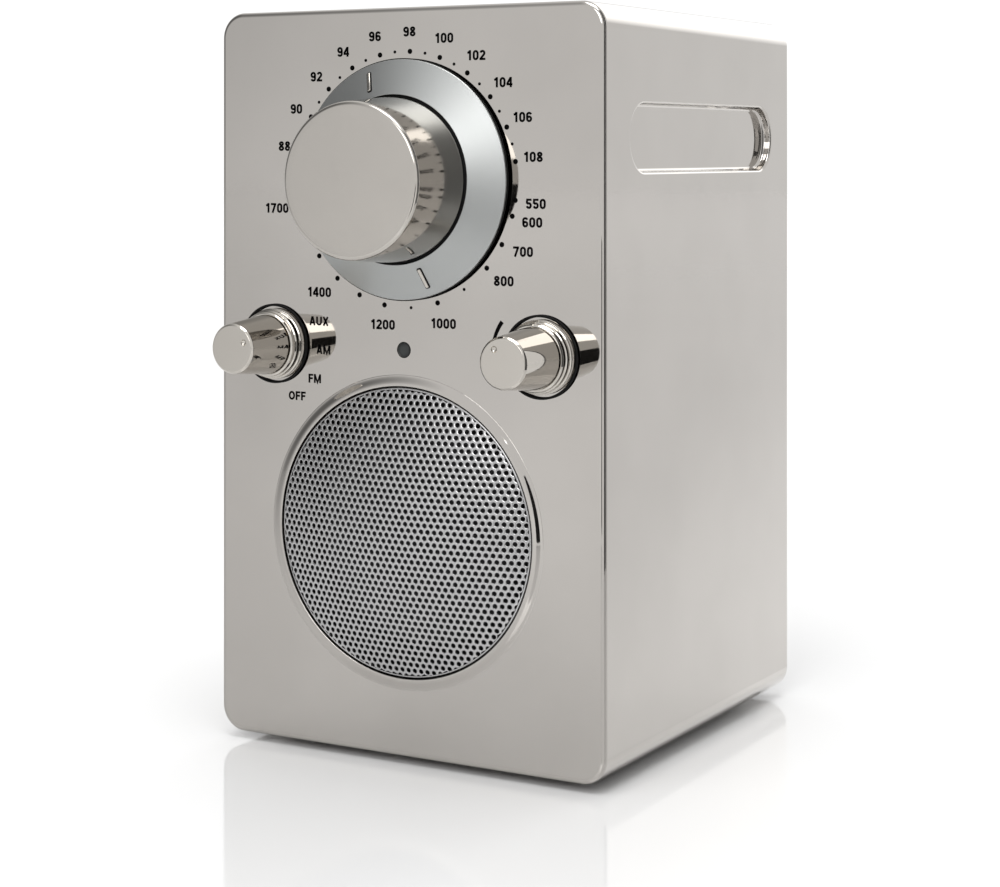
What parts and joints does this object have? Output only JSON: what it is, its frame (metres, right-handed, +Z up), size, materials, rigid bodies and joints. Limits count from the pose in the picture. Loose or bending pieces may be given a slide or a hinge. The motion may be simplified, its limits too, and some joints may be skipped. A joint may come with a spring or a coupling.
{
  "type": "portable radio",
  "caption": "Upright chrome table radio with a large tuning knob and dial ring, side knobs, a round perforated speaker grille, grip recesses and a folding telescopic rear antenna.",
  "frame": {"origin": "centre of the base pad's underside, midway between front and rear of the cabinet", "axes": "+Z up, -Y out of the front panel, +X to the right as seen from the front"},
  "size_m": [0.0936, 0.1295, 0.1588],
  "materials": {
    "chrome_body": "polished chrome plating, mirror bright",
    "chrome_knob": "polished chrome plating",
    "satin_silver": "fine satin silver",
    "silver_mesh": "satin silver sheet, perforated",
    "steel": "plain zinc-plated steel",
    "brass": "turned brass",
    "copper": "enamelled copper winding",
    "black_rubber": "matt black rubber",
    "black_plastic": "fine matt black",
    "white_nylon": "natural white nylon",
    "dark_lens": "smoked clear plastic",
    "cone_paper": "pressed black paper pulp",
    "spider_cloth": "resin-dipped cloth",
    "green_board": "glass-epoxy board, green",
    "ferrite": "pressed dark ferrite",
    "blue_sleeve": "blue shrink sleeve"
  },
  "bodies": {
    "cabinet_body": {"cabinet": "chrome_body", "selector_collar": "chrome_knob", "volume_collar": "chrome_knob", "antenna_bush": "chrome_knob", "speaker_grille": "silver_mesh", "cover_screw_1": "steel", "cover_screw_2": "steel", "cover_screw_3": "steel", "cover_screw_4": "steel", "door_screw": "steel", "speaker_screw_1": "steel", "speaker_screw_2": "steel", "speaker_screw_3": "steel", "speaker_screw_4": "steel", "speaker_basket": "steel", "speaker_top_plate": "steel", "speaker_yoke": "steel", "selector_switch": "steel", "dial_bush": "brass", "aerial_coil": "copper", "base_pad": "black_rubber", "selector_gasket": "black_rubber", "volume_gasket": "black_rubber", "speaker_gasket": "black_rubber", "speaker_surround": "black_rubber", "rear_cover": "black_plastic", "battery_door": "black_plastic", "headphone_jack": "black_plastic", "aux_jack": "black_plastic", "dc_jack": "black_plastic", "volume_control": "black_plastic", "ring_gear": "white_nylon", "tuning_capacitor": "white_nylon", "indicator_lens": "dark_lens", "speaker_spider": "spider_cloth", "main_board": "green_board", "ferrite_rod": "ferrite", "speaker_magnet": "ferrite", "battery_pack": "blue_sleeve"},
    "dial": {"dial_plate": "satin_silver", "planet_carrier": "steel", "capacitor_rotor": "white_nylon"},
    "tuning": {"tuning_knob": "chrome_knob", "tuning_shaft": "steel", "sun_gear": "brass"},
    "planet_1": {"planet_gear_1": "white_nylon"},
    "planet_2": {"planet_gear_2": "white_nylon"},
    "planet_3": {"planet_gear_3": "white_nylon"},
    "selector": {"selector_knob": "chrome_knob", "selector_shaft": "brass"},
    "volume": {"volume_knob": "chrome_knob", "volume_shaft": "brass"},
    "cone": {"speaker_cone": "cone_paper", "voice_coil": "copper"},
    "antenna_base": {"antenna_swivel": "chrome_knob", "antenna_pin": "steel"},
    "antenna_arm": {"antenna_tube": "chrome_knob"},
    "antenna_second": {"antenna_middle": "chrome_knob"},
    "antenna_third": {"antenna_inner": "chrome_knob"},
    "antenna_fourth": {"antenna_tip": "chrome_knob"}
  },
  "joints": [
    {"name": "dial_turn", "type": "hinge", "parent": "cabinet_body", "child": "dial", "pos_m": [0, -0.0493, 0.1226], "axis": [0, 1, 0], "range_deg": [-62, 97]},
    {"name": "tuning_turn", "type": "hinge", "parent": "cabinet_body", "child": "tuning", "pos_m": [0, -0.0493, 0.1226], "axis": [0, 1, 0], "range_deg": [-312, 488]},
    {"name": "planet_1_spin", "type": "hinge", "parent": "dial", "child": "planet_1", "pos_m": [0, -0.0493, 0.1346], "axis": [0, 1, 0], "range_deg": [-260, 167]},
    {"name": "planet_2_spin", "type": "hinge", "parent": "dial", "child": "planet_2", "pos_m": [-0.01039, -0.0493, 0.1166], "axis": [0, 1, 0], "range_deg": [-260, 167]},
    {"name": "planet_3_spin", "type": "hinge", "parent": "dial", "child": "planet_3", "pos_m": [0.01039, -0.0493, 0.1166], "axis": [0, 1, 0], "range_deg": [-260, 167]},
    {"name": "selector_turn", "type": "hinge", "parent": "cabinet_body", "child": "selector", "pos_m": [-0.0325, -0.0493, 0.0869], "axis": [0, 1, 0], "range_deg": [0, 90]},
    {"name": "volume_turn", "type": "hinge", "parent": "cabinet_body", "child": "volume", "pos_m": [0.0325, -0.0493, 0.0869], "axis": [0, 1, 0], "range_deg": [-114, 186]},
    {"name": "cone_travel", "type": "slide", "parent": "cabinet_body", "child": "cone", "axis": [0, -1, 0], "range_m": [-0.0012, 0.0012], "stiffness_N_per_m": 400, "deforming": ["speaker_surround", "speaker_spider"]},
    {"name": "antenna_swivel", "type": "hinge", "parent": "cabinet_body", "child": "antenna_base", "pos_m": [0.031, 0.0504, 0.1436], "axis": [0, 1, 0], "range_deg": [-180, 180]},
    {"name": "antenna_tilt", "type": "hinge", "parent": "antenna_base", "child": "antenna_arm", "pos_m": [0.031, 0.05545, 0.1436], "axis": [0, 0, -1], "range_deg": [0, 90]},
    {"name": "antenna_draw_2", "type": "slide", "parent": "antenna_arm", "child": "antenna_second", "axis": [-1, 0, 0], "range_m": [0, 0.042]},
    {"name": "antenna_draw_3", "type": "slide", "parent": "antenna_second", "child": "antenna_third", "axis": [-1, 0, 0], "range_m": [0, 0.042]},
    {"name": "antenna_draw_4", "type": "slide", "parent": "antenna_third", "child": "antenna_fourth", "axis": [-1, 0, 0], "range_m": [0, 0.042]}
  ],
  "couplings": [
    {"joint": "tuning_turn", "follows": "dial_turn", "ratio": 5},
    {"joint": "planet_1_spin", "follows": "dial_turn", "ratio": -2.6667},
    {"joint": "planet_2_spin", "follows": "dial_turn", "ratio": -2.6667},
    {"joint": "planet_3_spin", "follows": "dial_turn", "ratio": -2.6667}
  ]
}
